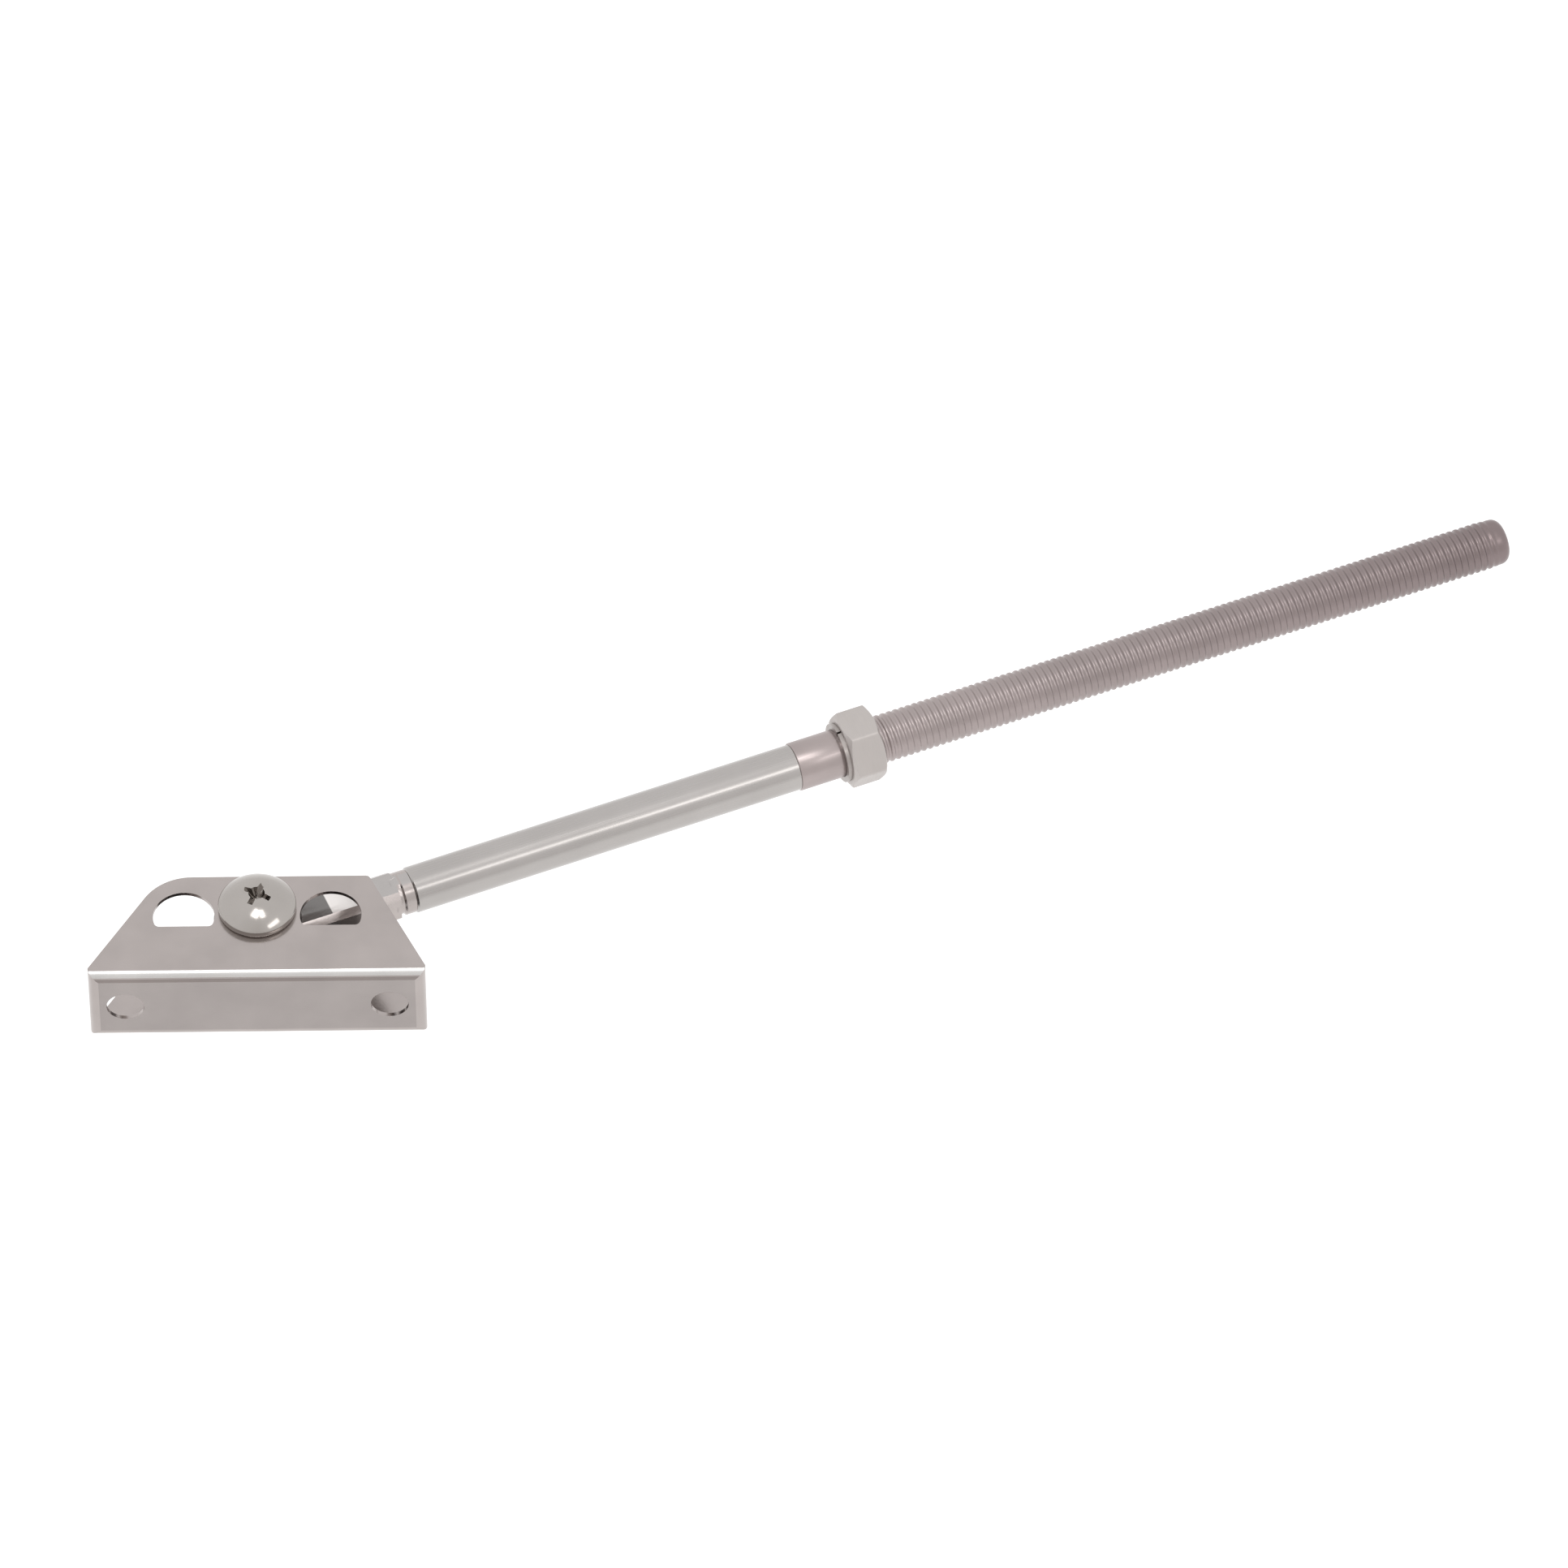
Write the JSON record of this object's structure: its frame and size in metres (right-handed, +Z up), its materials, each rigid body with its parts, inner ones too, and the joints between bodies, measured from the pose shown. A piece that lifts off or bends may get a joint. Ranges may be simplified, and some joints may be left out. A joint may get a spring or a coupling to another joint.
{
  "type": "threaded pivot arm for a window operator",
  "caption": "Folded sheet-metal foot with wall screw holes, and an arm that swings on its domed pivot screw: forged eye, polished tube and long threaded rod with a jam nut.",
  "frame": {"origin": "centre of the foot's mounting face, halfway between the two wall screws", "axes": "+X along the foot towards the arm's side, +Y away from the wall into the foot, +Z up along the pivot"},
  "size_m": [0.3274, 0.1415, 0.0362],
  "materials": {
    "foot_steel": "satin",
    "screw_steel": "semi-polished",
    "plated_steel": "zinc plated",
    "hard_steel": "hardened, dark",
    "bronze": "machined",
    "nylon": "matte",
    "forged_steel": "tumbled",
    "tube_steel": "polished",
    "rod_steel": "satin",
    "nut_steel": "satin"
  },
  "bodies": {
    "foot": {"shoe_bracket": "foot_steel", "pivot_screw": "screw_steel", "pivot_washer": "plated_steel", "lock_nut": "plated_steel", "lock_nut_insert": "nylon", "thrust_washer_upper": "hard_steel", "thrust_washer_lower": "hard_steel"},
    "arm": {"rod_end": "forged_steel", "bush_upper": "bronze", "bush_lower": "bronze", "arm_tube": "tube_steel", "threaded_rod": "rod_steel"},
    "washer": {"lock_washer": "hard_steel"},
    "nut": {"jam_nut": "nut_steel"}
  },
  "joints": [
    {"name": "arm_pivot", "type": "hinge", "parent": "foot", "child": "arm", "pos_m": [0, 0.0197, 0], "axis": [0, 0, 1], "range_deg": [-22, 158]},
    {"name": "nut_travel", "type": "slide", "parent": "arm", "child": "washer", "axis": [0.9259, 0.3778, 0], "range_m": [0, 0.1509]},
    {"name": "nut_spin", "type": "hinge", "parent": "washer", "child": "nut", "pos_m": [0.13708, 0.07564, 0], "axis": [0.9259, 0.3778, 0], "range_deg": [0, 34200]}
  ],
  "couplings": [
    {"joint": "nut_travel", "follows": "nut_spin", "m_per_rad": 0.00025266}
  ]
}
